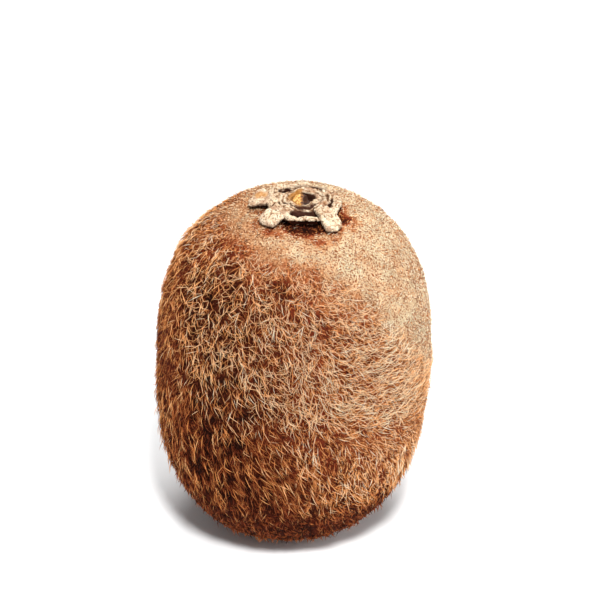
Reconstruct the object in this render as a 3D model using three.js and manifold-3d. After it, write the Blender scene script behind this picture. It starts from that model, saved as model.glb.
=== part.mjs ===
// A whole kiwi fruit standing on its blossom end, in millimetres, +Z up.
// The origin is the centre of the bounding box's footprint, on the plane that the fruit stands on.
// Four bodies: the fruit, the dried calyx on its stem end, the broken stem stub inside the calyx,
// and the withered styles tucked into the hollow of the blossom end.
import * as THREE from "three";
import { ImprovedNoise } from "three/addons/math/ImprovedNoise.js";
import { ParametricGeometry } from "three/addons/geometries/ParametricGeometry.js";
import { mergeVertices } from "three/addons/utils/BufferGeometryUtils.js";
import Module from "manifold-3d";

// Fruit: a barrel-shaped superellipse turned about its axis and pressed a little flat
const WIDTH = 49.7; // across X, at the widest ring
const DEPTH = 46.4; // across Y, at the widest ring
const STEM_RISE = 30.5; // widest ring up to the stem pole
const BLOSSOM_DROP = 37.4; // widest ring down to where the blossom pole would be if it weren't flat
const SQUARENESS = { stem: 2.38, blossom: 2.69 }; // superellipse power: 2 is an ellipse, more is squarer
const FLAT_RADIUS = 7.8; // the small flat spot that the fruit stands on
const BLOSSOM_HOLLOW = { radius: 3.4, depth: 1.5 }; // hollow in the middle of the flat spot
const STEM_HOLLOW = { radius: 11.5, depth: 3.0 }; // shallow hollow that the calyx sits in
const LEAN = { base: -0.94, top: 0.63, height: 62 }; // how the axis drifts in X from base to shoulder
const NAP = { height: 0.48, across: 1.9, along: 3.7 }; // combed relief of the matted hair
const FRUIT_SIDES = 90;
const FRUIT_RINGS = 53;

// Calyx: sizes are measured from its own centre, heights from its own level
const CALYX_CENTRE = new THREE.Vector2(2.0, -0.9);
const CALYX_SINK = 0.9; // how far its level lies below the stem pole, before the hollow
const BUTTON = { radius: 4.9, rim: 1.35, pitRadius: 2.3, pitFloor: -1.0, neck: 1.5, foot: -3 };
const PIT_SHIFT = new THREE.Vector2(-0.45, 0.6); // the pit lies to the back left of the button's middle
const GROOVE = 0.85; // depth of the ring-shaped fold between the button's inner and outer rims
const CRINKLE = { size: 0.17, across: 0.95 }; // uneven surface of the dried calyx
const CLEARANCE = 0.2; // between neighbouring bodies
// One entry for each sepal: its direction in degrees, how far its tip reaches, its widths at the
// root and at the tip, its thickness, how high it arches before it comes down to the skin, and how
// much its path swings sideways
const SEPALS = [
  { angle: 169, reach: 9.8, root: 3.6, tip: 6.0, thickness: 1.3, arch: 0.85, swing: 0.4 },
  { angle: 225, reach: 10.2, root: 2.8, tip: 4.0, thickness: 1.5, arch: 0.7, swing: -0.2 },
  { angle: 304.5, reach: 9.7, root: 2.6, tip: 3.2, thickness: 1.5, arch: 0.8, swing: 0.1 },
  { angle: 17, reach: 6.9, root: 3.4, tip: 4.4, thickness: 1.1, arch: 0.95, swing: 0.3 },
  { angle: 103, reach: 7.9, root: 3.4, tip: 4.6, thickness: 1.1, arch: 0.3, swing: -0.4 },
];
// The collar that joins the sepals' roots, a closed loop of points [x, y, height, bulk]: it is a thin
// ridge along the front, clear of the button, and fuller at the sides
const COLLAR_LOOP = [
  [4.3, -5.5, 0.75, 0.95],
  [5.3, -3.0, 0.9, 0.9],
  [5.7, 0.2, 1.0, 0.85],
  [4.9, 3.0, 0.75, 0.85],
  [2.2, 5.0, 0.4, 0.8],
  [-1.5, 5.6, 0.3, 0.8],
  [-5.1, 4.5, 0.6, 1.15],
  [-5.8, 0.9, 0.85, 0.9],
  [-5.3, -3.4, 0.8, 1.0],
  [-3.3, -5.7, 0.75, 0.75],
  [-1.4, -6.6, 0.8, 0.5],
  [0.6, -6.7, 0.8, 0.55],
  [2.5, -6.4, 0.75, 0.55],
];
const COLLAR = { wide: 0.8, high: 0.6 };

const STUB = { radius: 1.85, top: 0.95, notch: 1.05 }; // broken stem core, with a pit torn in one side
const STYLES = { count: 14, length: 2.1, thickness: 0.42, nubRadius: 0.85, tip: 0.35 };

const noise = new ImprovedNoise();
const wasm = await Module();
wasm.setup();

const smooth = (t) => t * t * (3 - 2 * t);
const ramp = (value, low, high) => smooth(THREE.MathUtils.clamp((value - low) / (high - low), 0, 1));

// Height of the flat spot above the blossom pole that it cuts away, which sets the widest ring's height
const flatShare = (FLAT_RADIUS / (WIDTH / 2)) ** SQUARENESS.blossom;
const flatRise = BLOSSOM_DROP * (1 - (1 - flatShare) ** (1 / SQUARENESS.blossom));
const widestZ = BLOSSOM_DROP - flatRise;
const stemPoleZ = widestZ + STEM_RISE;

// A rounded bowl's depth at a distance from its centre
const bowl = ({ radius, depth }, distance) =>
  distance < radius ? (depth * (1 + Math.cos((Math.PI * distance) / radius))) / 2 : 0;

// The meridian's outer stretch, from the edge of the flat spot up to the stem pole
class Flank extends THREE.Curve {
  getPoint(t) {
    const start = -Math.acos(Math.sqrt(flatShare));
    const angle = THREE.MathUtils.lerp(start, Math.PI / 2, t);
    const power = angle < 0 ? SQUARENESS.blossom : SQUARENESS.stem;
    const side = Math.max(Math.cos(angle), 0) ** (2 / power);
    const rise = Math.abs(Math.sin(angle)) ** (2 / power);
    const z = angle < 0 ? widestZ - BLOSSOM_DROP * rise : widestZ + STEM_RISE * rise;
    return new THREE.Vector3((WIDTH / 2) * side, z, 0);
  }
}

// The whole meridian as lathe points: blossom hollow, flat spot, flank
function meridian() {
  const hollow = [0, 0.28, 0.52, 0.76, 1].map((share) => {
    const r = share * BLOSSOM_HOLLOW.radius;
    return new THREE.Vector2(r, bowl(BLOSSOM_HOLLOW, r));
  });
  const flat = [0.3, 0.65].map(
    (t) => new THREE.Vector2(THREE.MathUtils.lerp(BLOSSOM_HOLLOW.radius, FLAT_RADIUS, t), 0),
  );
  const flank = new Flank().getSpacedPoints(FRUIT_RINGS).map((p) => new THREE.Vector2(p.x, p.y));
  flank[0].y = 0;
  flank[FRUIT_RINGS].x = 0;
  return [...hollow, ...flat, ...flank];
}

// Moves a point of the turned barrel to the real surface: pressed flat in Y, slightly lumpy,
// leaning, hollowed under the calyx and covered in low combed relief
function shapeFruit(p) {
  const around = Math.atan2(p.y, p.x);
  const flankShare = ramp(p.z, 0.5, 9) * (1 - ramp(p.z, stemPoleZ - 9, stemPoleZ - 1.5));
  const lumps =
    1 +
    flankShare *
      (0.007 * Math.sin(2 * around + 0.6 + p.z / 30) + 0.006 * Math.sin(3 * around + 1.9 - p.z / 19));
  const outward = new THREE.Vector3(p.x, p.y, (p.z - widestZ) * 0.6).normalize();
  const relief = noise.noise(p.x / NAP.across, p.y / NAP.across, p.z / NAP.along);
  const beside = Math.hypot(p.x - CALYX_CENTRE.x, p.y - CALYX_CENTRE.y);
  const clearOfCalyx = p.z < widestZ ? 1 : ramp(beside, 8, 13);
  const nap = relief * NAP.height * ramp(p.z, 0.4, 3) * clearOfCalyx;
  const lean = THREE.MathUtils.lerp(LEAN.base, LEAN.top, smooth(Math.min(p.z / LEAN.height, 1)));
  const x = p.x * lumps + outward.x * nap + lean;
  const y = (p.y * lumps * DEPTH) / WIDTH + outward.y * nap;
  const fromCalyx = Math.hypot(x - CALYX_CENTRE.x, y - CALYX_CENTRE.y);
  const dip = p.z > widestZ ? bowl(STEM_HOLLOW, fromCalyx) : 0;
  return new THREE.Vector3(x, y, p.z + outward.z * nap - dip);
}

// Moves every vertex of a geometry by a rule
function reshape(geometry, rule) {
  const position = geometry.getAttribute("position");
  const p = new THREE.Vector3();
  for (let i = 0; i < position.count; i++) {
    p.fromBufferAttribute(position, i);
    const moved = rule(p);
    position.setXYZ(i, moved.x, moved.y, moved.z);
  }
  return geometry;
}

// A closed three.js geometry as a manifold solid, whichever way its faces were wound
function solidOf(geometry) {
  const bare = geometry.clone();
  for (const name of Object.keys(bare.attributes)) if (name !== "position") bare.deleteAttribute(name);
  const merged = mergeVertices(bare, 1e-4);
  const make = (triVerts) =>
    new wasm.Manifold(
      new wasm.Mesh({ numProp: 3, vertProperties: merged.attributes.position.array, triVerts }),
    );
  const faces = new Uint32Array(merged.index.array);
  const solid = make(faces);
  return solid.volume() > 0 ? solid : make(faces.reverse());
}

// A manifold solid as a named three.js mesh
function meshOf(name, solid, material) {
  const { vertProperties, triVerts } = solid.getMesh();
  const geometry = new THREE.BufferGeometry()
    .setAttribute("position", new THREE.BufferAttribute(vertProperties, 3))
    .setIndex(new THREE.BufferAttribute(triVerts, 1));
  geometry.computeVertexNormals();
  const mesh = new THREE.Mesh(geometry, material);
  mesh.name = name;
  return mesh;
}

const joined = (solids) => solids.reduce((sum, next) => sum.add(next));

// Height of the fruit's skin above the calyx's level, at a place given from the calyx's centre
function skinAt(x, y) {
  const out = Math.hypot(
    (x + CALYX_CENTRE.x - LEAN.top) / (WIDTH / 2), (y + CALYX_CENTRE.y) / (DEPTH / 2));
  const drop = STEM_RISE * (1 - (1 - out ** SQUARENESS.stem) ** (1 / SQUARENESS.stem));
  return CALYX_SINK - drop - bowl(STEM_HOLLOW, Math.hypot(x, y));
}

// A number between -1 and 1 pushed towards its end, which squares off a round section
const squared = (value) => Math.sign(value) * Math.abs(value) ** 0.65;

// The uneven, shrunken surface of dried tissue: every point outside the pit is nudged by smooth noise
function crinkle(p) {
  const at = p.clone().divideScalar(CRINKLE.across);
  const nudge = new THREE.Vector3(
    noise.noise(at.x, at.y, at.z), noise.noise(at.x + 31, at.y, at.z), noise.noise(at.x, at.y + 47, at.z));
  const fromPit = Math.hypot(p.x - PIT_SHIFT.x, p.y - PIT_SHIFT.y);
  const outside = ramp(fromPit, BUTTON.pitRadius, BUTTON.pitRadius + 0.7);
  return p.clone().addScaledVector(nudge, CRINKLE.size * outside * 2);
}

// A sepal: it leaves the button, arches over the collar and comes down on the skin. Its section is a
// rounded slab, and its edges curl up where it arches
function sepal({ angle, reach, root, tip, thickness, arch, swing }) {
  const direction = THREE.MathUtils.degToRad(angle);
  const path = (u) => {
    const r = THREE.MathUtils.lerp(BUTTON.radius - 1.8, reach, u);
    const turned = direction + (swing * Math.sin(Math.PI * u)) / r;
    const x = r * Math.cos(turned);
    const y = r * Math.sin(turned);
    const resting = skinAt(x, y) + thickness * 0.5;
    const lifted = THREE.MathUtils.lerp(0.55, arch, Math.min(u * 2, 1));
    return new THREE.Vector3(x, y, THREE.MathUtils.lerp(lifted, resting, ramp(u, 0.4, 0.92)));
  };
  const surface = (u, v, target) => {
    const ahead = path(Math.min(u + 0.01, 1)).sub(path(Math.max(u - 0.01, 0))).normalize();
    const across = new THREE.Vector3(-ahead.y, ahead.x, 0).normalize();
    const up = new THREE.Vector3().crossVectors(ahead, across);
    const end = (1 - Math.abs(2 * u - 1) ** 9) ** 0.5;
    const wobble = 1 + 0.1 * Math.sin(6 * u + direction * 3);
    const side = squared(Math.cos(v * 2 * Math.PI));
    const wide = (THREE.MathUtils.lerp(root, tip, smooth(u)) / 2) * wobble * end;
    const high = (thickness / 2) * (2 - wobble) * end * squared(Math.sin(v * 2 * Math.PI));
    const curl = 0.35 * side * side * Math.sin(Math.PI * u);
    target.copy(path(u)).addScaledVector(across, side * wide).addScaledVector(up, high + curl);
  };
  return new ParametricGeometry(surface, 14, 12);
}

// The collar: a squarish section carried round the closed loop, thicker and thinner as it goes
function collar() {
  const loop = new THREE.CatmullRomCurve3(COLLAR_LOOP.map((p) => new THREE.Vector3(...p)), true);
  const bulkAt = (u) => {
    const place = u * COLLAR_LOOP.length;
    const from = Math.floor(place) % COLLAR_LOOP.length;
    const to = (from + 1) % COLLAR_LOOP.length;
    return THREE.MathUtils.lerp(COLLAR_LOOP[from][3], COLLAR_LOOP[to][3], smooth(place % 1));
  };
  const surface = (u, v, target) => {
    const at = loop.getPoint(u % 1);
    const outward = new THREE.Vector3(at.x, at.y, 0).normalize();
    const turn = v * 2 * Math.PI;
    const bulk = bulkAt(u % 1);
    const swell = 1 + 0.2 * Math.sin(14 * Math.PI * u) * Math.cos(6 * Math.PI * u);
    target
      .copy(at)
      .addScaledVector(outward, squared(Math.cos(turn)) * COLLAR.wide * bulk * swell)
      .add(new THREE.Vector3(0, 0, squared(Math.sin(turn)) * COLLAR.high * bulk * (1.8 - 0.8 * swell)));
  };
  return new ParametricGeometry(surface, 72, 8);
}

// The button: a low cup with a torn rim round the stem's pit
function button() {
  const { radius, rim, pitRadius, pitFloor, neck, foot } = BUTTON;
  const profile = [
    [0, pitFloor],
    [pitRadius * 0.75, pitFloor + 0.05],
    [pitRadius * 0.95, pitFloor + 0.6],
    [pitRadius, rim - 0.5],
    [pitRadius + 0.35, rim - 0.05],
    [pitRadius + 0.75, rim - 0.05],
    [pitRadius + 1.15, rim],
    [pitRadius + 1.55, rim],
    [radius - 0.7, rim - 0.05],
    [radius - 0.25, rim - 0.5],
    [radius, rim - 1.2],
    [radius - neck * 0.75, rim - 1.75],
    [radius - neck, rim - 2.4],
    [radius - neck, foot],
    [0, foot],
  ].map(([r, z]) => new THREE.Vector2(r, z));
  const cup = new THREE.LatheGeometry(profile, 44).rotateX(Math.PI / 2);
  return reshape(cup, (p) => {
    const around = Math.atan2(p.y, p.x);
    const r = Math.hypot(p.x, p.y);
    const upper = ramp(p.z, -0.2, 1) * ramp(r, 0.5, 2);
    const narrowed = 0.08 * Math.max(Math.sin(around), 0) * ramp(r, pitRadius + 0.3, radius);
    const wide = 1 + 0.05 * Math.sin(2 * around + 0.8) + 0.035 * Math.sin(5 * around + 2.1) - narrowed;
    const high = 0.22 * Math.sin(3 * around + 3.1) + 0.12 * Math.sin(8 * around + 0.3);
    const pitShare = 1 - ramp(r, pitRadius + 0.3, radius);
    const groove = ramp(p.z, 0.8, 1.1) * Math.exp(-(((r - pitRadius - 1.15) / 0.45) ** 2));
    const depth = GROOVE * groove * (0.6 - 0.4 * Math.sin(around + 0.5));
    return new THREE.Vector3(
      p.x * wide + pitShare * PIT_SHIFT.x, p.y * wide + pitShare * PIT_SHIFT.y, p.z + high * upper - depth);
  });
}

// The broken stem core: a lumpy plug in the button's pit with a deep tear in one side
function stemStub() {
  const floor = BUTTON.pitFloor + 0.3;
  const profile = [
    [0, STUB.top], [STUB.radius * 0.55, STUB.top + 0.1], [STUB.radius * 0.9, STUB.top - 0.3],
    [STUB.radius * 0.92, floor + 0.3], [STUB.radius * 0.75, floor], [0, floor],
  ].map(([r, z]) => new THREE.Vector2(r, z));
  const plug = new THREE.LatheGeometry(profile, 20).rotateX(Math.PI / 2);
  reshape(plug, (p) => {
    const lump = 1 + 0.07 * Math.sin(4 * Math.atan2(p.y, p.x) + 1);
    return new THREE.Vector3(p.x * lump, p.y * lump, p.z + (p.z > 0 ? 0.24 * p.y - 0.2 * p.x : 0));
  });
  const tear = new THREE.IcosahedronGeometry(STUB.notch, 2).scale(1.1, 1.4, 1.05);
  tear.translate(STUB.radius * 0.72, -0.1, STUB.top - 0.2);
  return solidOf(plug).subtract(solidOf(tear)).translate([PIT_SHIFT.x, PIT_SHIFT.y, 0]);
}

// The withered styles: a woody nub with short dry filaments lying in the blossom hollow
function styleTuft() {
  const top = BLOSSOM_HOLLOW.depth + 0.5;
  const nub = new THREE.IcosahedronGeometry(STYLES.nubRadius, 2).scale(1, 1, 1.1);
  nub.translate(0, 0, top - STYLES.nubRadius * 0.75);
  const filament = (i) => {
    const around = (i / STYLES.count) * 2 * Math.PI + 0.35 * Math.sin(i * 2.7);
    const reach = STYLES.length * (0.82 + 0.18 * Math.sin(i * 4.1));
    const from = new THREE.Vector3(0, 0, top - 0.75);
    const to = new THREE.Vector3(reach * Math.cos(around), reach * Math.sin(around), 0);
    to.z = THREE.MathUtils.lerp(STYLES.tip, bowl(BLOSSOM_HOLLOW, reach), 0.35) + 0.12 * Math.sin(i * 3.3);
    const needle = new THREE.ConeGeometry(STYLES.thickness / 2, from.distanceTo(to), 5);
    const middle = from.clone().add(to).multiplyScalar(0.5);
    const aim = new THREE.Quaternion().setFromUnitVectors(
      new THREE.Vector3(0, 1, 0), to.clone().sub(from).normalize());
    return needle.applyQuaternion(aim).translate(middle.x, middle.y, middle.z);
  };
  const filaments = Array.from({ length: STYLES.count }, (_, i) => solidOf(filament(i)));
  return joined([solidOf(nub), ...filaments]);
}

const skinMaterial = new THREE.MeshStandardMaterial({ color: 0x8a5a34, roughness: 0.95, metalness: 0 });
const calyxMaterial = new THREE.MeshStandardMaterial({ color: 0xcdb083, roughness: 0.9, metalness: 0 });
const stubMaterial = new THREE.MeshStandardMaterial({ color: 0xb07a35, roughness: 0.85, metalness: 0 });
const styleMaterial = new THREE.MeshStandardMaterial({ color: 0x3c2716, roughness: 0.9, metalness: 0 });

const barrel = new THREE.LatheGeometry(meridian(), FRUIT_SIDES).rotateX(Math.PI / 2);
const fruitSolid = solidOf(reshape(barrel, shapeFruit));

const calyxPlace = [CALYX_CENTRE.x, CALYX_CENTRE.y, stemPoleZ - CALYX_SINK];
const calyxPieces = [button(), collar(), ...SEPALS.map(sepal)];
const calyxSolid = joined(calyxPieces.map((piece) => solidOf(reshape(piece, crinkle))))
  .translate(calyxPlace)
  .subtract(fruitSolid.translate([0, 0, CLEARANCE]));
const stubSolid = stemStub().translate(calyxPlace);
const styleSolid = styleTuft()
  .translate([LEAN.base, 0, 0])
  .subtract(fruitSolid.translate([0, 0, -CLEARANCE]));

const kiwi = new THREE.Group();
kiwi.add(
  meshOf("fruit", fruitSolid, skinMaterial),
  meshOf("calyx", calyxSolid, calyxMaterial),
  meshOf("stem_stub", stubSolid, stubMaterial),
  meshOf("style_tuft", styleSolid, styleMaterial),
);

// Puts the origin at the centre of the bounding box's footprint
const bounds = new THREE.Box3().setFromObject(kiwi);
const footprint = bounds.getCenter(new THREE.Vector3());
kiwi.position.set(-footprint.x, -footprint.y, -bounds.min.z);

export default kiwi;
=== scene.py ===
import math

import bmesh
import bpy
import numpy as np
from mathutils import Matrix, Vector, noise
from mathutils.bvhtree import BVHTree


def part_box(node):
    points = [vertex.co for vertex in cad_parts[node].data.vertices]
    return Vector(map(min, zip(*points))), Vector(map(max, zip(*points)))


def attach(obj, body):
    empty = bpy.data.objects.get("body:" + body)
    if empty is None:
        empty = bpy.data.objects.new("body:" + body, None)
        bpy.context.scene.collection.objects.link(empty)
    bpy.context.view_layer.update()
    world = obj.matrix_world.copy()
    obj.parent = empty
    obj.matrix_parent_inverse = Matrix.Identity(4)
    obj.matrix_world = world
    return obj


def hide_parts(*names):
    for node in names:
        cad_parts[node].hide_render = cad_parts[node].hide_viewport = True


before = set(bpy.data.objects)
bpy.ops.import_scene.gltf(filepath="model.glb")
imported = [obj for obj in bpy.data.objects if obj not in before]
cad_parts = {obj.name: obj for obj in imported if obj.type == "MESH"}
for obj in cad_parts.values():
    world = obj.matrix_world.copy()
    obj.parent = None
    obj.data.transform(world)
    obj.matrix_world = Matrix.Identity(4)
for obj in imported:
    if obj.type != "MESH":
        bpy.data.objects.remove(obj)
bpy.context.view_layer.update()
mm = 0.001  # sizes below are in millimetres, and this turns them to metres


def linearColour(hexValue):
    # sRGB hex to the linear colour that shaders want
    parts = [int(hexValue[i : i + 2], 16) / 255 for i in (1, 3, 5)]
    return [c / 12.92 if c <= 0.04045 else ((c + 0.055) / 1.055) ** 2.4 for c in parts] + [1.0]


def addNode(tree, kind, links=None, **settings):
    # adds a node, sets its properties, then fills its inputs with values or links
    node = tree.nodes.new(kind)
    for name, value in settings.items():
        setattr(node, name, value)
    for socket, source in (links or {}).items():
        if isinstance(source, bpy.types.NodeSocket):
            tree.links.new(source, node.inputs[socket])
        else:
            node.inputs[socket].default_value = source
    return node


def setRamp(node, stops):
    # gives a colour ramp its stops, each a place from 0 to 1 and an sRGB hex colour
    elements = node.color_ramp.elements
    while len(elements) > 1:
        elements.remove(elements[-1])
    for i, (place, colour) in enumerate(stops):
        stop = elements[0] if i == 0 else elements.new(place)
        stop.position = place
        stop.color = linearColour(colour)


def newMaterial(name, finish):
    # a plain shader whose own sockets take the finish
    material = bpy.data.materials.new(name)
    material.use_nodes = True
    tree = material.node_tree
    tree.nodes.clear()
    shader = addNode(tree, "ShaderNodeBsdfPrincipled", finish)
    addNode(tree, "ShaderNodeOutputMaterial", {"Surface": shader.outputs[0]})
    return material, tree, shader


def softNoise(points, size, shift=0.0):
    # smooth noise from about -1 to 1 at each point, with lumps of about the given size
    return np.array([noise.noise(Vector(p)) for p in points / size + shift])


def ramp(value, start, full):
    # 0 at the start and before, 1 where it is full, and a smooth rise between; start may be the greater
    t = np.clip((value - start) / (full - start), 0, 1)
    return t * t * (3 - 2 * t)


def mix(a, b, share):
    return a + (b - a) * share


def layered(value, *layers):
    # lays each further value over the first, by its share of each place
    for other, share in layers:
        value = mix(value, other, share)
    return value


def vertexVectors(mesh, what):
    found = np.zeros(len(mesh.vertices) * 3)
    mesh.vertices.foreach_get(what, found)
    return found.reshape(-1, 3)


def pointsAndNormals(mesh):
    return vertexVectors(mesh, "co") / mm, vertexVectors(mesh, "normal")


def movePoints(mesh, points):
    mesh.vertices.foreach_set("co", (points * mm).astype(np.float32).ravel())
    mesh.update()


def fromSpot(points, spot):
    # distance in mm from a spot on the fruit's top, seen from above; far off for points below its upper part
    return np.hypot(points[:, 0] - spot[0], points[:, 1] - spot[1]) + 99 * (points[:, 2] < 50)


def setPointValues(mesh, name, values):
    isVector = values.ndim == 2
    attribute = mesh.attributes.new(name, "FLOAT_VECTOR" if isVector else "FLOAT", "POINT")
    attribute.data.foreach_set("vector" if isVector else "value", values.astype(np.float32).ravel())


def addObject(name, mesh):
    made = bpy.data.objects.new(name, mesh)
    bpy.context.scene.collection.objects.link(made)
    return made


def copyOfNode(nodeName, name):
    # a merged copy of a CAD node's mesh, for a finer piece to start from
    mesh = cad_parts[nodeName].data.copy()
    mesh.materials.clear()
    work = bmesh.new()
    work.from_mesh(mesh)
    bmesh.ops.remove_doubles(work, verts=work.verts, dist=1e-7)
    work.to_mesh(mesh)
    work.free()
    mesh.name = name
    return addObject(name, mesh)


def remeshed(piece, voxel, smoothing):
    # even small faces all over, with the source's facets smoothed away, as the piece's new plain mesh
    remesh = piece.modifiers.new("remesh", "REMESH")
    remesh.mode = "VOXEL"
    remesh.voxel_size = voxel * mm
    remesh.use_smooth_shade = True
    soften = piece.modifiers.new("soften", "SMOOTH")
    soften.factor = 0.5
    soften.iterations = smoothing
    graph = bpy.context.evaluated_depsgraph_get()
    mesh = bpy.data.meshes.new_from_object(piece.evaluated_get(graph))
    piece.modifiers.clear()
    piece.data = mesh
    return mesh


def opennessOf(mesh, others, reach):
    # for each point, the share of directions above it that meet nothing within reach: low in folds and holes;
    # the calyx's material paints shade from it
    corners, faces = [], []
    for wall in [mesh, *others]:
        first = len(corners)
        corners += [Vector(p) for p in vertexVectors(wall, "co")]
        faces += [[first + i for i in polygon.vertices] for polygon in wall.polygons]
    solid = BVHTree.FromPolygons(corners, faces)
    rayCount = 18  # enough for a soft shade
    turns = [math.radians(137.5 * k) for k in range(rayCount)]  # the golden angle spreads them evenly
    rises = [math.sqrt((k + 0.5) / rayCount) for k in range(rayCount)]
    rays = [Vector((math.sqrt(1 - r * r) * math.cos(t), math.sqrt(1 - r * r) * math.sin(t), r))
            for t, r in zip(turns, rises)]
    points, normals = vertexVectors(mesh, "co"), vertexVectors(mesh, "normal")
    found = np.zeros(len(points))
    for i, (point, normal) in enumerate(zip(points, normals)):
        facing = Vector(normal)
        side = facing.orthogonal().normalized()
        across = facing.cross(side)
        start = Vector(point) + facing * 0.03 * mm  # just off the surface, so that a ray doesn't meet it
        aims = [side * ray.x + across * ray.y + facing * ray.z for ray in rays]
        clear = sum(solid.ray_cast(start, aim, reach * mm)[0] is None for aim in aims)
        found[i] = clear / rayCount
    return found


stubLow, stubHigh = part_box("stem_stub")
stubMiddle = np.array([(stubLow[i] + stubHigh[i]) / 2 / mm for i in (0, 1)])
calyxMiddle = stubMiddle + (0.45, -0.6)  # the calyx's button isn't quite round its stub

skin = {
    "voxel": 0.52,  # mm, edge of the finer mesh's faces
    "smoothing": 5,
    "poreHeight": 0.05,  # mm, fine unevenness
    "poreSize": 0.9,  # mm
    "dimpleSize": 2.6,  # mm, broader unevenness
    "dimpleShare": 0.7,  # of the pores' height
    "inset": 0.12,  # mm, so that the hair's bulk brings the outline back out
}


def buildSkin():
    piece = copyOfNode("fruit", "fruitSkin")
    mesh = remeshed(piece, skin["voxel"], skin["smoothing"])
    points, normals = pointsAndNormals(mesh)
    dimples = skin["dimpleShare"] * softNoise(points, skin["dimpleSize"], 11)
    pores = skin["poreHeight"] * (softNoise(points, skin["poreSize"]) + dimples)
    off = (pores - skin["inset"])[:, None] * normals
    off[:, 2] = np.maximum(off[:, 2], -points[:, 2])  # the flat spot stays on the ground
    movePoints(mesh, points + off)
    return piece


fruitSkin = buildSkin()
print("skin", len(fruitSkin.data.polygons), "faces")

coat = {
    "length": {  # mm
        "felt": 0.66,  # round the calyx and over the right shoulder
        "left": 2.3, "right": 2.2, "low": 2.7,  # long hair
        "foot": 1.1,  # last ring of hair above the ground
        "fuzz": 0.75, "lowFuzz": 1.15,  # short under-hair between the long hairs
    },
    "edge": {  # where felt gives way to long hair
        "height": 63,  # mm, at the middle
        "wander": 2.0,  # mm, how far it goes up and down
        "tilt": 0.1,  # how much lower it is per mm to the right
        "bends": ((4, 0.6), (12, 0.5), (17, 0.5)),  # how much more so, per mm, from each x in mm on
        "leftBend": (-12, 0.5),  # and how much lower per mm to the left of this x in mm
        "fade": (-3.5, 2.5),  # mm about the edge, from long hair to felt
        "toneFade": (-8.5, 2.5),  # mm, from the long hair's ground to the felt's pale one
    },
    "slant": 0.3,  # how much further up the low part reaches, per mm to the left
    "zones": {  # mm, where each zone starts and where it is full
        # by slanted height
        "low": (34, 19),
        "band": (27, 37),  # hair combed across, under the felt
        "wiry": (31, 40),
        # by height
        "belowTop": (53, 38),
        "foot": (18, 8),
        "beneath": (5, 2),
        # by height above the ground, where hair starts
        "longGrows": (0.4, 4.0), "longThickens": (0.8, 3.0),
        "fuzzGrows": (0.4, 3), "feltThickens": (0.3, 0.9),
        # from left to right
        "farLeft": (0, -20), "leftEdge": (-16, -23),
        "across": (-17, 17), "wiryAcross": (-12, 2), "longAcross": (-10, 2),
        "right": (2, 13), "lowRight": (10, 19), "rightEdge": (18, 24.5),
        "side": (19, 25),  # on the left as on the right
        # by distance from the calyx's middle
        "clear": (4.6, 6.2), "inFront": (-1.0, 4.5), "feather": (0.6, 2.4),
    },
    "hollow": {  # bare skin round the calyx, painted dark: painted shade under the calyx, with darker hair
        "radius": 6.2,  # mm from the calyx's middle
        "ragged": 2.6,  # mm, how far its edge goes in and out
        "fade": (2.2, 5.6),  # mm, from the painted shade to the usual tones, behind the calyx and in front of it
        "depth": (0.5, 1.0),  # how dark the painted shade is, behind and in front
    },
    "featherSpot": (3.4, 6.9),  # mm from the calyx's middle, where its longer hairs stand
    "noises": {  # size in mm of each kind of waviness, and its shift
        "big": (9.0, 3.0), "middle": (4.0, 17.0), "patch": (3.0, 53.0),
        "curl": (2.4, 41.0), "tuft": (1.7, 29.0),
    },
    "clump": (np.array([1.4, 1.4, 3.8]), 61.0),  # the same for the clumps that hairs gather in
    "combing": {  # degrees from straight down towards the right, as seen from outside
        "upper": 14, "low": 26, "band": 84, "lowRight": -14,
        "sway": 26,  # this and the rest: how far each kind of waviness turns the hair
        "curl": (24, 46),  # out of the band, and in it
        "tuft": (30, 8), "gather": (24, 62),  # in the upper part, and in the low part
        "feltCurl": 200, "feltTuft": 120,
    },
    "straying": {  # degrees that a hair may turn off the comb
        "top": 84, "middle": 48, "right": 40, "low": 28, "felt": 80, "fuzz": 62,
    },
    "tones": {  # from 0, darkest, to 1, palest, on the ramps of the skin's and the hair's materials
        # the left, right and right edge tones hold painted light and shade from the light's side besides the
        # coat's own tones; the foot tones are painted shade
        "ground": {
            "left": 0.08, "right": 0.4, "lowLeft": 0.05, "lowRight": 0.34,
            "leftEdge": 0.28, "rightEdge": 0.62, "foot": 0.16, "beneath": 0.3, "felt": 0.72, "hollow": 0.05},
        "fuzz": {
            "left": 0.14, "right": 0.69, "lowLeft": 0.12, "lowRight": 0.75,
            "leftEdge": 0.38, "rightEdge": 0.67, "foot": 0.3, "beneath": 0.42, "felt": 0.93, "hollow": 0.22},
        "strand": {
            "left": 0.7, "right": 0.84, "lowLeft": 0.42, "lowRight": 0.79,
            "leftEdge": 0.52, "rightEdge": 0.7, "foot": 0.48, "felt": 0.95},
    },
}


def zone(name, value):
    return ramp(value, *coat["zones"][name])


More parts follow.
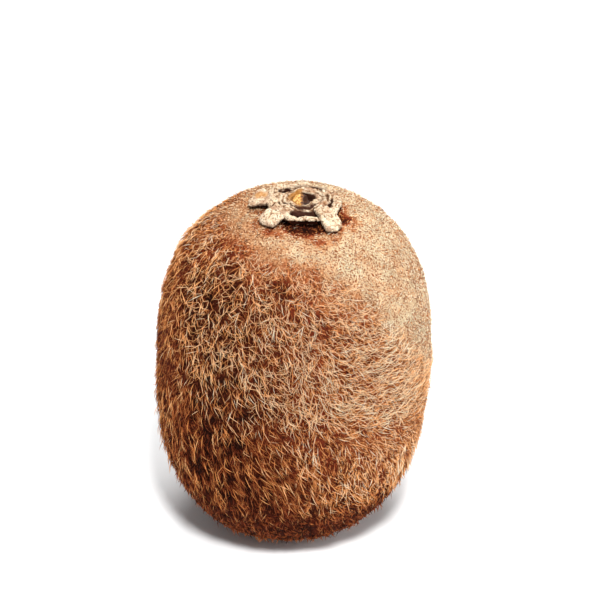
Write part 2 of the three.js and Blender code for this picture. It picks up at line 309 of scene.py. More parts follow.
def growCoat(mesh):
    # says how the coat grows, with one value of each kind for every point of the skin
    points, normals = pointsAndNormals(mesh)
    x, y, z = points.T
    along = np.cross(np.array([0.0, 0.0, 1.0]), normals)
    size = np.linalg.norm(along, axis=1, keepdims=True)
    along = np.where(size > 1e-3, along / np.maximum(size, 1e-6), np.array([1.0, 0.0, 0.0]))
    down = np.cross(along, normals)

    big, middle, patch, curl, tuft = (softNoise(points, *noiseKind) for noiseKind in coat["noises"].values())
    clump = softNoise(points, *coat["clump"])
    step = 0.3  # mm to either side, to find which way the clump's middle lies
    toRight, toLeft = (softNoise(points + off * along, *coat["clump"]) for off in (step, -step))
    gather = (toRight - toLeft) / (2 * step)

    edges = coat["edge"]
    edge = edges["height"] - edges["tilt"] * x + edges["wander"] * middle
    for bend, slope in edges["bends"]:
        edge = edge - slope * np.maximum(x - bend, 0)
    bend, slope = edges["leftBend"]
    edge = edge - slope * np.maximum(bend - x, 0)
    felt = ramp(z, edge + edges["fade"][0], edge + edges["fade"][1])
    feltTone = ramp(z + 2.5 * curl, edge + edges["toneFade"][0], edge + edges["toneFade"][1])

    slanted = z + coat["slant"] * x
    low, foot, beneath = zone("low", slanted), zone("foot", z), zone("beneath", z)
    across, right, side = zone("across", x), zone("right", x), zone("side", np.abs(x))
    band = zone("band", slanted) * (1 - felt)
    leftEdge = zone("leftEdge", x) * (1 - felt)
    narrowing = 0.025 * np.clip(20 - z, 0, 16)  # near the ground the fruit's right edge lies further in
    rightEdge = zone("rightEdge", x * (1 + narrowing)) * (1 - 0.7 * low)

    # round the calyx the skin is sunken and nearly bare, and painted dark as shade under the calyx, most of
    # all in front
    fromCalyx = fromSpot(points, calyxMiddle)
    inFront, clear = zone("inFront", calyxMiddle[1] - y), zone("clear", fromCalyx)
    hollows = coat["hollow"]
    hollowEdge = fromCalyx + hollows["ragged"] * tuft - hollows["radius"]
    hollow = 1 - ramp(hollowEdge / mix(*hollows["fade"], inFront), 0, 1)
    hollow = hollow * mix(*hollows["depth"], inFront)
    feather = 1 - zone("feather", fromSpot(points, calyxMiddle + coat["featherSpot"]))

    lengths = coat["length"]
    length = layered(
        mix(lengths["left"], lengths["right"], zone("longAcross", x)),
        (lengths["low"], low),
        (lengths["foot"], foot),
        (lengths["felt"], np.maximum(felt, 0.3 * side * (1 - 0.7 * low))))  # and shorter at both sides
    length *= 1 + 0.3 * patch  # uneven from patch to patch
    length *= mix(0.18, 1.0, zone("longGrows", z))  # shortest at the ground
    fuzzLength = layered(lengths["fuzz"], (lengths["lowFuzz"], low), (lengths["felt"], felt))
    fuzzLength = fuzzLength * (1 + 1.4 * feather)
    fuzzLength = fuzzLength * mix(0.3, 1, zone("fuzzGrows", z)) * (1 - 0.3 * side * low)

    combing, straying = coat["combing"], coat["straying"]
    angle = layered(
        mix(combing["upper"], combing["low"], low),
        (combing["band"], right * band),
        (combing["lowRight"], zone("lowRight", x) * low))
    angle = (angle + combing["sway"] * big + mix(*combing["curl"], band) * curl
             + mix(*combing["tuft"], low) * tuft + mix(*combing["gather"], low) * gather)
    angle = mix(angle, combing["feltCurl"] * middle + combing["feltTuft"] * tuft, felt)
    angle = np.radians(angle)
    stray = layered(
        mix(straying["top"], straying["middle"], zone("belowTop", z)),
        (straying["right"], across),
        (straying["low"], low),
        (straying["felt"], felt))

    # tones of the skin, of the felt and short under-hair, and of the long hair; each is mottled at the end.
    # Darker to the left, paler to the right and at its edge: partly own tones, partly painted light and shade
    lowAcross = across**1.5  # low down, pale hair starts further right
    # the felt turns darker far to the left, partly painted shade
    paleness = feltTone * (1 - 0.25 * zone("farLeft", x))
    # painted shade: the tones turn darker at the foot, near the ground, less so at the right edge
    footShade = foot * (1 - 0.4 * rightEdge)
    # the ground under the hair is kept dark, partly as painted shade between the hairs
    tone = coat["tones"]["ground"]
    ground = layered(
        mix(tone["left"], tone["right"], across),
        (mix(tone["lowLeft"], tone["lowRight"], lowAcross), low),
        (tone["leftEdge"], leftEdge * (1 - 0.55 * low)),
        (tone["rightEdge"], rightEdge),
        (tone["foot"], footShade),
        (tone["beneath"], beneath),
        (tone["felt"], paleness**1.4))
    # painted shade round the calyx: the ground turns dark there
    ground = mix(ground + 0.12 * patch + 0.05 * big, tone["hollow"], hollow)
    tone = coat["tones"]["fuzz"]
    fuzz = layered(
        mix(tone["left"], tone["right"], across),
        (mix(tone["lowLeft"], tone["lowRight"], lowAcross), low),
        (tone["leftEdge"], leftEdge),
        (tone["rightEdge"], rightEdge),
        (tone["foot"], footShade),
        (tone["beneath"], beneath),
        (tone["felt"], paleness))
    # and the under-hair too, as painted shade
    fuzz = mix(fuzz + 0.06 * patch, tone["hollow"], hollow**2.5)
    tone = coat["tones"]["strand"]
    strand = layered(
        mix(tone["left"], tone["right"], across),
        (mix(tone["lowLeft"], tone["lowRight"], lowAcross) + 0.1 * clump, low),
        (tone["leftEdge"], leftEdge * mix(0.8, 1.0, low)),
        (tone["rightEdge"], rightEdge),
        (tone["foot"], foot),
        (tone["felt"], felt))
    strand = strand + 0.05 * patch

    # how thick each kind of hair stands, as a share of its full density: felt nearly everywhere, long hair
    # below the felt and in clumps low down, wiry hair from the middle up
    feltShare = mix(mix(0.85, 0.6, low), 1.0, felt) * clear * zone("feltThickens", z)
    longShare = (1 - 0.95 * felt) * zone("longThickens", z) * mix(0.35, 0.72, low) * (1 - 0.6 * foot)
    longShare *= 1 - 0.3 * leftEdge
    longShare *= 1 + mix(0.5 * tuft, 1.7 * clump, low)
    wiryShare = (1 - felt) * zone("wiry", slanted) * (1 - 0.2 * side)
    wiryShare = wiryShare * mix(0.45, 0.95, zone("wiryAcross", x)) * (1 + 0.6 * curl)

    maps = {
        "comb": down * np.cos(angle)[:, None] + along * np.sin(angle)[:, None],
        "outward": normals,
        "reach": length * mm,
        "fuzzReach": fuzzLength * mm,
        "stray": np.radians(stray),
        "fuzzStray": np.radians(mix(straying["fuzz"], straying["felt"], felt)),
        "ground": np.clip(ground, 0, 1),
        "fuzz": np.clip(fuzz, 0, 1),
        "strand": np.clip(strand, 0, 1),
        "feltShare": np.clip(feltShare, 0, 1),
        "longShare": np.clip(longShare, 0, 1) * clear,
        "wiryShare": np.clip(wiryShare, 0, 1),
    }
    for name, values in maps.items():
        setPointValues(mesh, name, values)
    return list(maps)


coatMaps = growCoat(fruitSkin.data)
print("coat mapped")


# Kiwi skin, grown: thin brown bark-like skin, dull, freckled with darker corky points; kept dark under the
# hair, partly as painted shade between the hairs
def kiwiSkinMaterial():
    material, tree, shader = newMaterial("kiwiSkin", {
        "Roughness": 0.9, "IOR": 1.45, "Specular IOR Level": 0.06})
    place = addNode(tree, "ShaderNodeTexCoord").outputs["Object"]
    ground = addNode(tree, "ShaderNodeAttribute", attribute_name="ground").outputs["Fac"]
    freckle = addNode(tree, "ShaderNodeTexNoise", {  # 0.3 mm points
        "Vector": place, "Scale": 1 / (0.3 * mm), "Detail": 2.0})
    blotch = addNode(tree, "ShaderNodeTexNoise", {  # 3.5 mm blotches
        "Vector": place, "Scale": 1 / (3.5 * mm), "Detail": 2.0})
    base = addNode(tree, "ShaderNodeValToRGB", {"Fac": ground})
    setRamp(base, [
        (0.05, "#1f0b05"), (0.14, "#42180a"), (0.3, "#682916"), (0.42, "#8c4b2b"),
        (0.6, "#a97b55"), (0.85, "#c0b596")])
    corky = addNode(tree, "ShaderNodeValToRGB", {"Fac": ground})
    setRamp(corky, [
        (0.05, "#120603"), (0.3, "#2c0f07"), (0.42, "#451e0d"), (0.6, "#643117"), (0.85, "#7c4527")])
    speck = addNode(tree, "ShaderNodeMapRange", {
        "Value": freckle.outputs["Fac"], "From Min": 0.48, "From Max": 0.4})
    both = addNode(tree, "ShaderNodeMix", {
        "Factor": speck.outputs[0], 6: base.outputs[0], 7: corky.outputs[0]}, data_type="RGBA")
    wide = addNode(tree, "ShaderNodeMapRange", {
        "Value": blotch.outputs["Fac"], "From Min": 0.3, "From Max": 0.7, "To Min": 0.85, "To Max": 1.15})
    shade = addNode(tree, "ShaderNodeVectorMath", {
        0: both.outputs[2], "Scale": wide.outputs[0]}, operation="SCALE")
    bump = addNode(tree, "ShaderNodeBump", {
        "Height": freckle.outputs["Fac"], "Strength": 0.8, "Distance": 0.15 * mm})
    tree.links.new(shade.outputs[0], shader.inputs["Base Color"])
    tree.links.new(bump.outputs[0], shader.inputs["Normal"])
    return material


# Kiwi hair, grown: dry, dull hairs from dark rust through straw to cream, darker at the root, partly as
# painted shade down among the hairs
def kiwiHairMaterial():
    material, tree, shader = newMaterial("kiwiHair", {
        "Roughness": 0.6, "IOR": 1.5, "Specular IOR Level": 0.06})
    place = addNode(tree, "ShaderNodeUVMap", uv_map="OFBake")
    axes = addNode(tree, "ShaderNodeSeparateXYZ", {0: place.outputs[0]})
    tone = addNode(tree, "ShaderNodeValToRGB", {"Fac": axes.outputs[0]})
    setRamp(tone, [
        (0.0, "#2c1006"), (0.2, "#692d17"), (0.36, "#9e532e"), (0.55, "#dc8e50"), (0.68, "#f4b374"),
        (0.78, "#f0c496"), (0.86, "#f3d5ae"), (0.92, "#e0cdac"), (0.96, "#ebdfc4")])
    # darker towards the root: partly the hair's own colour, partly painted shade among the hairs
    fade = addNode(tree, "ShaderNodeValToRGB", {"Fac": axes.outputs[1]})
    setRamp(fade, [(0.0, "#ae866c"), (0.4, "#ffffff")])
    shade = addNode(tree, "ShaderNodeVectorMath", {
        0: tone.outputs[0], 1: fade.outputs[0]}, operation="MULTIPLY")
    tree.links.new(shade.outputs[0], shader.inputs["Base Color"])
    return material


skinMaterial = kiwiSkinMaterial()
hairMaterial = kiwiHairMaterial()


def hairShape(name, stations, width, lift, droop, bend, wave):
    # one closed three-sided sliver of length 1 along X, rooted just under the skin, bending in Z and Y;
    # stations are the places of its rings from root to tip
    def middle(t):
        return Vector((t, bend * t * t + wave * math.sin(2 * math.pi * t) * t, lift * t - droop * t * t))

    work = bmesh.new()
    uv = work.loops.layers.uv.new("OFBake")
    share = {}
    root = work.verts.new(middle(0) - Vector((0.02, 0, 0.1)))  # sunk into the skin
    share[root] = 0.0
    rings = []
    for t in stations:
        radius = width * (1.0 - 0.55 * t)  # tapers towards the tip
        ring = []
        for k in range(3):
            turn = math.radians(90 + 120 * k)
            around = Vector((0, math.cos(turn) * radius, math.sin(turn) * radius))
            ring.append(work.verts.new(middle(t) + around))
            share[ring[-1]] = t
        rings.append(ring)
    tip = work.verts.new(middle(1))
    share[tip] = 1.0
    for k in range(3):
        j = (k + 1) % 3
        work.faces.new((root, rings[0][k], rings[0][j]))
        for a, b in zip(rings, rings[1:]):
            work.faces.new((a[k], b[k], a[j]))
            work.faces.new((a[j], b[k], b[j]))
        work.faces.new((rings[-1][k], tip, rings[-1][j]))
    bmesh.ops.recalc_face_normals(work, faces=work.faces)
    for face in work.faces:
        face.smooth = True
        for i, loop in enumerate(face.loops):
            loop[uv].uv = (0.012 * i, share[loop.vert])  # a little width keeps the faces open in the UV map
    mesh = bpy.data.meshes.new(name)
    work.to_mesh(mesh)
    work.free()
    return bpy.data.objects.new(name, mesh)


def hairBundle(name, stations, width, forms):
    # the set of differently bent hairs that a layer of the coat picks from
    bundle = bpy.data.collections.new(name)
    for i, form in enumerate(forms):
        bundle.objects.link(hairShape(f"{name}{i}", stations, width, *form))
    return bundle


def coatTree(name):
    # spreads hairs over the skin by a share map, combs and bends them, and ends as one plain mesh
    tree = bpy.data.node_groups.new(name, "GeometryNodeTree")
    mapLabels = ("Share map", "Tone map", "Length map", "Stray map")
    for label, kind in [
        ("Geometry", "NodeSocketGeometry"), ("Hairs", "NodeSocketCollection"),
        *[(label, "NodeSocketString") for label in mapLabels],
        ("Tone shift", "NodeSocketFloat"), ("Tone spread", "NodeSocketFloat"),
        ("Length scale", "NodeSocketFloat"), ("Density", "NodeSocketFloat"),
        ("Seed", "NodeSocketInt"), ("Finish", "NodeSocketMaterial"),
    ]:
        tree.interface.new_socket(label, in_out="INPUT", socket_type=kind)
    tree.interface.new_socket("Geometry", in_out="OUTPUT", socket_type="NodeSocketGeometry")
    given = addNode(tree, "NodeGroupInput").outputs
    read = [
        *[(given[label], "FLOAT") for label in mapLabels],
        ("comb", "FLOAT_VECTOR"), ("outward", "FLOAT_VECTOR"),
        ("hairTone", "FLOAT"), ("OFBake", "FLOAT_VECTOR")]
    share, tone, reach, stray, comb, outward, ownTone, ownUv = [
        addNode(tree, "GeometryNodeInputNamedAttribute", {"Name": source}, data_type=kind).outputs[0]
        for source, kind in read]
    density = addNode(tree, "ShaderNodeMath", {0: share, 1: given["Density"]}, operation="MULTIPLY")
    spread = addNode(tree, "GeometryNodeDistributePointsOnFaces", {
        "Mesh": given["Geometry"], "Density": density.outputs[0], "Seed": given["Seed"]},
        distribute_method="RANDOM")

    # each hair's own tone, up to the ramp's last stop
    jitter = addNode(tree, "FunctionNodeRandomValue", {2: -1.0, 3: 1.0, "Seed": 3}, data_type="FLOAT")
    wander = addNode(tree, "ShaderNodeMath", {
        0: jitter.outputs[1], 1: given["Tone spread"], 2: tone}, operation="MULTIPLY_ADD")
    shifted = addNode(tree, "ShaderNodeMath", {0: wander.outputs[0], 1: given["Tone shift"]}, operation="ADD")
    kept = addNode(tree, "ShaderNodeClamp", {"Value": shifted.outputs[0], "Min": 0.0, "Max": 0.96})
    toned = addNode(tree, "GeometryNodeStoreNamedAttribute", {
        "Geometry": spread.outputs["Points"], "Name": "hairTone", "Value": kept.outputs[0]},
        data_type="FLOAT", domain="POINT")

    # direction: the comb turned about the surface normal by a random angle
    swing = addNode(tree, "FunctionNodeRandomValue", {2: -1.0, 3: 1.0, "Seed": 7}, data_type="FLOAT")
    turn = addNode(tree, "ShaderNodeMath", {0: swing.outputs[1], 1: stray}, operation="MULTIPLY")
    aim = addNode(tree, "ShaderNodeVectorRotate", {
        "Vector": comb, "Axis": outward, "Angle": turn.outputs[0]}, rotation_type="AXIS_ANGLE")
    facing = addNode(tree, "FunctionNodeAlignRotationToVector", {"Vector": aim.outputs[0]}, axis="X")
    upright = addNode(tree, "FunctionNodeAlignRotationToVector", {
        "Rotation": facing.outputs[0], "Vector": outward}, axis="Z", pivot_axis="X")

    # length, from 0.45 to 1.25 of the mapped one, and thickness as a share of it; the pick of a shape wraps
    grown = addNode(tree, "FunctionNodeRandomValue", {2: 0.45, 3: 1.25, "Seed": 13}, data_type="FLOAT")
    long = addNode(tree, "ShaderNodeMath", {0: grown.outputs[1], 1: reach}, operation="MULTIPLY")
    scaled = addNode(tree, "ShaderNodeMath", {
        0: long.outputs[0], 1: given["Length scale"]}, operation="MULTIPLY")
    pick = addNode(tree, "FunctionNodeRandomValue", {4: 0, 5: 40, "Seed": 19}, data_type="INT")
    hairs = addNode(tree, "GeometryNodeCollectionInfo", {
        "Collection": given["Hairs"], "Separate Children": True, "Reset Children": True})
    placed = addNode(tree, "GeometryNodeInstanceOnPoints", {
        "Points": toned.outputs[0], "Instance": hairs.outputs[0], "Pick Instance": True,
        "Instance Index": pick.outputs[2], "Rotation": upright.outputs[0], "Scale": scaled.outputs[0]})
    solid = addNode(tree, "GeometryNodeRealizeInstances", {"Geometry": placed.outputs[0]})

    # lifts what would reach below the ground to 0.02 mm above it; 1 m aside leaves X and Y alone
    here = addNode(tree, "GeometryNodeInputPosition")
    floored = addNode(tree, "ShaderNodeVectorMath", {
        0: here.outputs[0], 1: (-1, -1, 0.02 * mm)}, operation="MAXIMUM")
    above = addNode(tree, "GeometryNodeSetPosition", {
        "Geometry": solid.outputs[0], "Position": floored.outputs[0]})

    # UV: across is the hair's tone, along is root to tip
    across = addNode(tree, "ShaderNodeCombineXYZ", {"X": ownTone})
    placedUv = addNode(tree, "ShaderNodeVectorMath", {0: ownUv, 1: across.outputs[0]}, operation="ADD")
    mapped = addNode(tree, "GeometryNodeStoreNamedAttribute", {
        "Geometry": above.outputs[0], "Name": "OFBake", "Value": placedUv.outputs[0]},
        data_type="FLOAT2", domain="CORNER")
    finished = addNode(tree, "GeometryNodeSetMaterial", {
        "Geometry": mapped.outputs[0], "Material": given["Finish"]})
    addNode(tree, "NodeGroupOutput", {"Geometry": finished.outputs[0]})
    return tree


# after each name come the places of the hair's rings, its half width, and its forms: (lift, droop, bend
# sideways, wave); all are shares of its length
feltBundle = hairBundle("feltHair", [0.3], 0.12, [
    (0.75, 0.5, 0.1, 0), (0.5, 0.3, -0.25, 0), (1.1, 0.8, 0.2, 0), (0.35, 0.2, 0.3, 0), (1.2, 0.3, -0.1, 0)])
longBundle = hairBundle("longHair", [0.16, 0.6], 0.031, [
    (0.34, 0.18, 0.1, 0.02), (0.44, 0.2, -0.18, 0.05), (0.38, 0.12, 0.25, -0.04), (0.45, 0.32, -0.05, 0.03),
    (0.46, 0.08, 0.0, 0.06), (0.6, 0.26, 0.12, -0.05), (0.74, 0.24, 0.1, 0.03)])
wiryBundle = hairBundle("wiryHair", [0.12, 0.42, 0.74], 0.031, [
    (0.4, 0.2, 0.55, 0.16), (0.55, 0.35, -0.6, 0.14), (0.35, 0.12, 0.25, -0.26), (0.5, 0.2, -0.3, 0.26),
    (0.65, 0.35, 0.75, -0.14)])
feltKind = {
    "Hairs": feltBundle,
    "Share map": "feltShare", "Tone map": "fuzz", "Length map": "fuzzReach", "Stray map": "fuzzStray"}
longKind = {
    "Hairs": longBundle,
    "Share map": "longShare", "Tone map": "strand", "Length map": "reach", "Stray map": "stray"}
wiryKind = {**longKind, "Hairs": wiryBundle, "Share map": "wiryShare"}
layers = {  # density is in hairs a square metre where the share map is 1
    "feltOne": {
        **feltKind, "Seed": 1, "Density": 3.9e6,
        "Tone spread": 0.1, "Tone shift": 0.0, "Length scale": 1.0},
    # a darker under-felt, partly painted shade deep in the coat
    "feltTwo": {
        **feltKind, "Seed": 2, "Density": 3.0e6,
        "Tone spread": 0.2, "Tone shift": -0.55, "Length scale": 0.85},
    "longHairOne": {
        **longKind, "Seed": 3, "Density": 2.6e6,
        "Tone spread": 0.22, "Tone shift": 0.0, "Length scale": 1.0},
    "longHairTwo": {
        **longKind, "Seed": 4, "Density": 2.8e6,
        "Tone spread": 0.22, "Tone shift": -0.32, "Length scale": 0.7},
    "longHairThree": {
        **longKind, "Seed": 6, "Density": 3.5e6,
        "Tone spread": 0.2, "Tone shift": -0.27, "Length scale": 0.6},
    "wiryHair": {
        **wiryKind, "Seed": 5, "Density": 2.3e6,
        "Tone spread": 0.08, "Tone shift": 0.02, "Length scale": 1.05},
}


def growHair(name, tree, settings):
    # runs the coat tree on the skin and keeps the result as a plain mesh, without the skin's maps
    host = addObject(name, fruitSkin.data)
    modifier = host.modifiers.new("coat", "NODES")
    modifier.node_group = tree
    values = {**settings, "Finish": hairMaterial}
    for item in tree.interface.items_tree:
        if item.in_out == "INPUT" and item.name in values:
            modifier[item.identifier] = values[item.name]
    graph = bpy.context.evaluated_depsgraph_get()
    mesh = bpy.data.meshes.new_from_object(host.evaluated_get(graph))
    bpy.data.objects.remove(host)
    for mapName in (*coatMaps, "hairTone"):
        if mapName in mesh.attributes:
            mesh.attributes.remove(mesh.attributes[mapName])
    mesh.name = name
    print(name, sum(len(p.vertices) - 2 for p in mesh.polygons), "triangles")
    return addObject(name, mesh)


kiwiCoat = coatTree("kiwiCoat")
hairPieces = [growHair(name, kiwiCoat, settings) for name, settings in layers.items()]
fruitSkin.data.materials.append(skinMaterial)  # after the hairs, which take their own

calyx = {
    "voxel": 0.125,  # mm, edge of the finer mesh's faces
    "smoothing": 2,
    "crinkleHeight": 0.12,  # mm, of the folds, ridges and creases
    "foldSize": 1.1,  # mm
    "ridgeSize": 0.75,  # mm
    "creaseSize": 1.7,  # mm
    "fibreHeight": 0.07,  # mm, of the fibres and of the rings round the button
    "fibreSize": 0.34,  # mm
    "ringStep": 0.85,  # mm, from one ring to the next
    "shadeReach": 2.6,  # mm, how near a wall has to be for painted shade in a fold
    "amberSpot": (-5.8, 0.8),  # mm, place of the stain on the left sepal
}


def buildCalyx():
    piece = copyOfNode("calyx", "driedCalyx")
    mesh = remeshed(piece, calyx["voxel"], calyx["smoothing"])
    points, normals = pointsAndNormals(mesh)
    folds = softNoise(points, calyx["foldSize"], 5)
    ridges = 1 - 2 * np.abs(softNoise(points, calyx["ridgeSize"], 23))
    fibres = 1 - 2 * np.abs(softNoise(points, calyx["fibreSize"], 37))
    creases = 1 - ramp(np.abs(softNoise(points, calyx["creaseSize"], 51)), 0.0, 0.1)
    fromMiddle = fromSpot(points, calyxMiddle)
    waves = np.sin(2 * np.pi * (fromMiddle + 0.3 * folds) / calyx["ringStep"])
    rings = waves * ramp(fromMiddle, 2.4, 3.0) * ramp(fromMiddle, 5.6, 4.8)
    crinkles = calyx["crinkleHeight"] * (folds + 0.7 * ridges - 0.8 * creases)
    lift = crinkles + calyx["fibreHeight"] * (fibres + rings)
    movePoints(mesh, points + lift[:, None] * normals)

    # maps for the material: pale crests with darker creases, partly painted shade, amber stains, and how open
    # to the light each point is, for painted shade in folds and holes
    bleached = 0.25 * ramp(fromMiddle, 5.6, 7.6)
    # crest: paler where the crinkle rises and darker in its creases and low spots, partly painted shade there
    crest = 0.5 + 2.4 * lift - 0.3 * creases + 0.15 * rings + bleached
    stain = 1 - ramp(fromSpot(points, calyx["amberSpot"]) + 0.5 * folds, 0.7, 1.7)
    leftOfStub = ramp(stubMiddle[0] + 0.3 - points[:, 0], 0, 0.8)
    tornSide = (1 - ramp(fromSpot(points, stubMiddle), 2.3, 3.0)) * leftOfStub
    stubTop = stubHigh.z / mm
    # painted shade in the slot round the stub's top, cut into the openness below
    slotShade = ramp(points[:, 2], stubTop - 0.1, stubTop - 0.75) * (1 - ramp(fromMiddle, 5.2, 6.2))
    openness = opennessOf(mesh, [fruitSkin.data], calyx["shadeReach"])
    setPointValues(mesh, "crest", np.clip(crest, 0, 1))
    setPointValues(mesh, "amber", np.maximum(stain, 0.9 * tornSide))
    setPointValues(mesh, "open", np.maximum(openness * (1 - 0.7 * slotShade), 0.8 * tornSide))
    return piece


# Dried calyx, withered on the fruit: papery, woody, pale tan with brown clouds, and dark brown painted shade
# in its folds, holes and underneath
def driedCalyxMaterial():
    material, tree, shader = newMaterial("driedCalyx", {
        "Roughness": 0.85, "IOR": 1.45, "Specular IOR Level": 0.2})
    place = addNode(tree, "ShaderNodeTexCoord").outputs["Object"]
    crest, openness, amber = [
        addNode(tree, "ShaderNodeAttribute", attribute_name=name).outputs["Fac"]
        for name in ("crest", "open", "amber")]
    fleck = addNode(tree, "ShaderNodeTexNoise", {  # 0.32 mm fibres' ends
        "Vector": place, "Scale": 1 / (0.32 * mm), "Detail": 4.0})
    cloud = addNode(tree, "ShaderNodeTexNoise", {  # 2.2 mm clouds
        "Vector": place, "Scale": 1 / (2.2 * mm), "Detail": 2.0})
    dotted = addNode(tree, "ShaderNodeTexNoise", {  # 0.28 mm dark dots
        "Vector": place, "Scale": 1 / (0.28 * mm), "Detail": 1.0})

    # pale on the crests, darker down the sides and in the creases, which is partly painted shade, with flecks
    # and clouds
    flecked = addNode(tree, "ShaderNodeMath", {0: crest, 1: fleck.outputs["Fac"]}, operation="ADD")
    clouded = addNode(tree, "ShaderNodeMath", {
        0: flecked.outputs[0], 1: cloud.outputs["Fac"]}, operation="ADD")
    height = addNode(tree, "ShaderNodeMapRange", {
        "Value": clouded.outputs[0], "From Min": 0.9, "From Max": 2.1})
    colour = addNode(tree, "ShaderNodeValToRGB", {"Fac": height.outputs[0]})
    setRamp(colour, [
        (0.0, "#3a2112"), (0.24, "#6b4a30"), (0.42, "#9b7b5e"), (0.65, "#bda588"), (1.0, "#d8c7ad")])

    # brown clouds, dark dots, painted shade in folds, holes and the slot, and amber stains, one over the
    # other
    brown = addNode(tree, "ShaderNodeMapRange", {
        "Value": cloud.outputs["Fac"], "From Min": 0.5, "From Max": 0.62, "To Max": 0.7})
    browned = addNode(tree, "ShaderNodeMix", {
        "Factor": brown.outputs[0], 6: colour.outputs[0], 7: linearColour("#8d6040")}, data_type="RGBA")
    dot = addNode(tree, "ShaderNodeMapRange", {
        "Value": dotted.outputs["Fac"], "From Min": 0.44, "From Max": 0.36, "To Max": 0.85})
    speckled = addNode(tree, "ShaderNodeMix", {
        "Factor": dot.outputs[0], 6: browned.outputs[2], 7: linearColour("#4a2d18")}, data_type="RGBA")
    # painted shade: near black where little is open to the sky, in folds, holes, under the sepals and in the
    # slot
    unshaded = addNode(tree, "ShaderNodeMapRange", {"Value": openness, "From Min": 0.38, "From Max": 0.92})
    shaded = addNode(tree, "ShaderNodeMix", {
        "Factor": unshaded.outputs[0], 6: linearColour("#35190c"), 7: speckled.outputs[2]}, data_type="RGBA")
    stain = addNode(tree, "ShaderNodeMath", {0: amber, 1: 0.75}, operation="MULTIPLY")
    stained = addNode(tree, "ShaderNodeMix", {
        "Factor": stain.outputs[0], 6: shaded.outputs[2], 7: linearColour("#a8702c")}, data_type="RGBA")
    bump = addNode(tree, "ShaderNodeBump", {
        "Height": fleck.outputs["Fac"], "Strength": 0.7, "Distance": 0.14 * mm})
    tree.links.new(stained.outputs[2], shader.inputs["Base Color"])
    tree.links.new(bump.outputs[0], shader.inputs["Normal"])
    return material


driedCalyx = buildCalyx()
driedCalyx.data.materials.append(driedCalyxMaterial())
print("calyx", len(driedCalyx.data.polygons), "faces")

stub = {
    "voxel": 0.09,  # mm, edge of the finer mesh's faces
    "smoothing": 2,
    "grainHeight": 0.09,  # mm
    "grainSize": 0.5,  # mm
    "crumbSize": 0.22,  # mm, finer and half as high
}


def buildStub():
    piece = copyOfNode("stem_stub", "stemStub")
    mesh = remeshed(piece, stub["voxel"], stub["smoothing"])
    points, normals = pointsAndNormals(mesh)
    crumbs = 0.5 * softNoise(points, stub["crumbSize"], 19)
    grain = stub["grainHeight"] * (softNoise(points, stub["grainSize"], 7) + crumbs)
    movePoints(mesh, points + grain[:, None] * normals)
    return piece


# Torn stem core: corky, amber where it broke, near black down in the tear, partly painted shade in the pit
def stemCoreMaterial():
    material, tree, shader = newMaterial("stemCore", {"Roughness": 0.7, "IOR": 1.45})
    place = addNode(tree, "ShaderNodeTexCoord").outputs["Object"]
    axes = addNode(tree, "ShaderNodeSeparateXYZ", {0: place})
    fleck = addNode(tree, "ShaderNodeTexNoise", {  # 0.4 mm cork cells, coarser than real ones, to show
        "Vector": place, "Scale": 1 / (0.4 * mm), "Detail": 3.0})
    # the right side stays near black, partly painted shade down in the pit
    broken = addNode(tree, "ShaderNodeMapRange", {  # the left side broke, and is paler
        "Value": axes.outputs[0], "From Min": stubLow.x + 1.3 * mm, "From Max": stubLow.x + 2.1 * mm,
        "To Min": 0.42, "To Max": 0.0})
    both = addNode(tree, "ShaderNodeMath", {0: broken.outputs[0], 1: fleck.outputs["Fac"]}, operation="ADD")
    colour = addNode(tree, "ShaderNodeValToRGB", {"Fac": both.outputs[0]})
    setRamp(colour, [
        (0.35, "#24120a"), (0.62, "#4a2812"), (0.8, "#8d5c26"), (0.95, "#b98740"), (1.0, "#d2a766")])
    tree.links.new(colour.outputs[0], shader.inputs["Base Color"])
    return material


# Withered styles: black-brown, dry and brittle
def witheredStyleMaterial():
    material, tree, shader = newMaterial("witheredStyle", {"Roughness": 0.85})
    place = addNode(tree, "ShaderNodeTexCoord").outputs["Object"]
    fleck = addNode(tree, "ShaderNodeTexNoise", {  # 0.4 mm flecks, about a style's width
        "Vector": place, "Scale": 1 / (0.4 * mm), "Detail": 3.0})
    colour = addNode(tree, "ShaderNodeValToRGB", {"Fac": fleck.outputs["Fac"]})
    setRamp(colour, [(0.3, "#1d100a"), (0.7, "#4d2f1b")])
    tree.links.new(colour.outputs[0], shader.inputs["Base Color"])
    return material


stemStub = buildStub()
stemStub.data.materials.append(stemCoreMaterial())
styleTuft = copyOfNode("style_tuft", "styleTuft")
styleTuft.data.materials.append(witheredStyleMaterial())
print("stub", len(stemStub.data.polygons), "faces, styles", len(styleTuft.data.polygons), "faces")

for piece, node, slotName in [
    (fruitSkin, "fruit", "skin"), (driedCalyx, "calyx", "calyx"),
    (stemStub, "stem_stub", "stem_stub"), (styleTuft, "style_tuft", "styles"),
]:
    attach(piece, "root")
    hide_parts(node)
for piece in hairPieces:
    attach(piece, "root")
print("pieces ride")

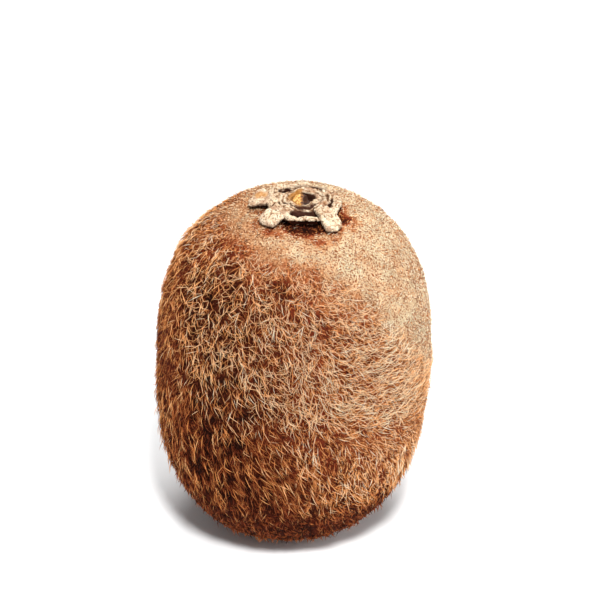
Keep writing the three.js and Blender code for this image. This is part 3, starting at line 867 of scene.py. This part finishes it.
stage = {
    "floor": "#fbfbfb",
    "half": 1.5,  # m, half of the floor's width
    "sky": 0.28,
    "lights": {  # place and target in m, disk's width in m, power in W
        "keyLight": ((0.035, -0.28, 0.42), (0, 0, 0.04), 0.1, 2.8),
        "topLight": ((0.03, 0.15, 0.57), (0, 0, 0.04), 0.4, 2.5),
        "sideLight": ((0.42, -0.12, 0.2), (0, 0, 0.03), 0.3, 0.8),
    },
}
view = {
    "lens": 200.0,  # mm
    "sensor": 36.0,  # mm
    "elevation": 30.0,  # degrees above level
    "width": 109.1,  # mm across the picture at the fruit
    "aim": (1.1, 0.0, 46.34),  # mm
}


# Painted studio floor: smooth, matt and nearly white, so that it shows soft shadow and no gloss
def paleFloorMaterial():
    return newMaterial("paleFloor", {
        "Base Color": linearColour(stage["floor"]), "Roughness": 1.0, "Specular IOR Level": 0.0})[0]


def softLight(name, place, target, size, power):
    light = bpy.data.lights.new(name, "AREA")
    light.shape = "DISK"
    light.size = size
    light.energy = power
    lamp = addObject(name, light)
    lamp.location = place
    lamp.rotation_euler = (Vector(place) - Vector(target)).to_track_quat("Z", "Y").to_euler()


half = stage["half"]
floorCorners = [(-half, -half, 0), (half, -half, 0), (half, half, 0), (-half, half, 0)]
floorMesh = bpy.data.meshes.new("floor")
floorMesh.from_pydata(floorCorners, [], [(0, 1, 2, 3)])
floorMesh.materials.append(paleFloorMaterial())
addObject("floor", floorMesh)
for name, settings in stage["lights"].items():
    softLight(name, *settings)

world = bpy.data.worlds.new("studio")
world.use_nodes = True
sky = world.node_tree.nodes["Background"]
sky.inputs["Color"].default_value = (1, 1, 1, 1)
sky.inputs["Strength"].default_value = stage["sky"]
bpy.context.scene.world = world
bpy.context.scene.view_settings.view_transform = "Standard"

camera = bpy.data.cameras.new("camera")
camera.lens = view["lens"]
camera.sensor_width = view["sensor"]
camera.clip_start = 0.01
camera.clip_end = 20
rig = addObject("camera", camera)
tilt = math.radians(view["elevation"])
back = Vector((0, -math.cos(tilt), math.sin(tilt)))
distance = view["width"] * mm * view["lens"] / view["sensor"]
rig.location = Vector(view["aim"]) * mm + back * distance
rig.rotation_euler = back.to_track_quat("Z", "Y").to_euler()
bpy.context.scene.camera = rig
print("stage ready")
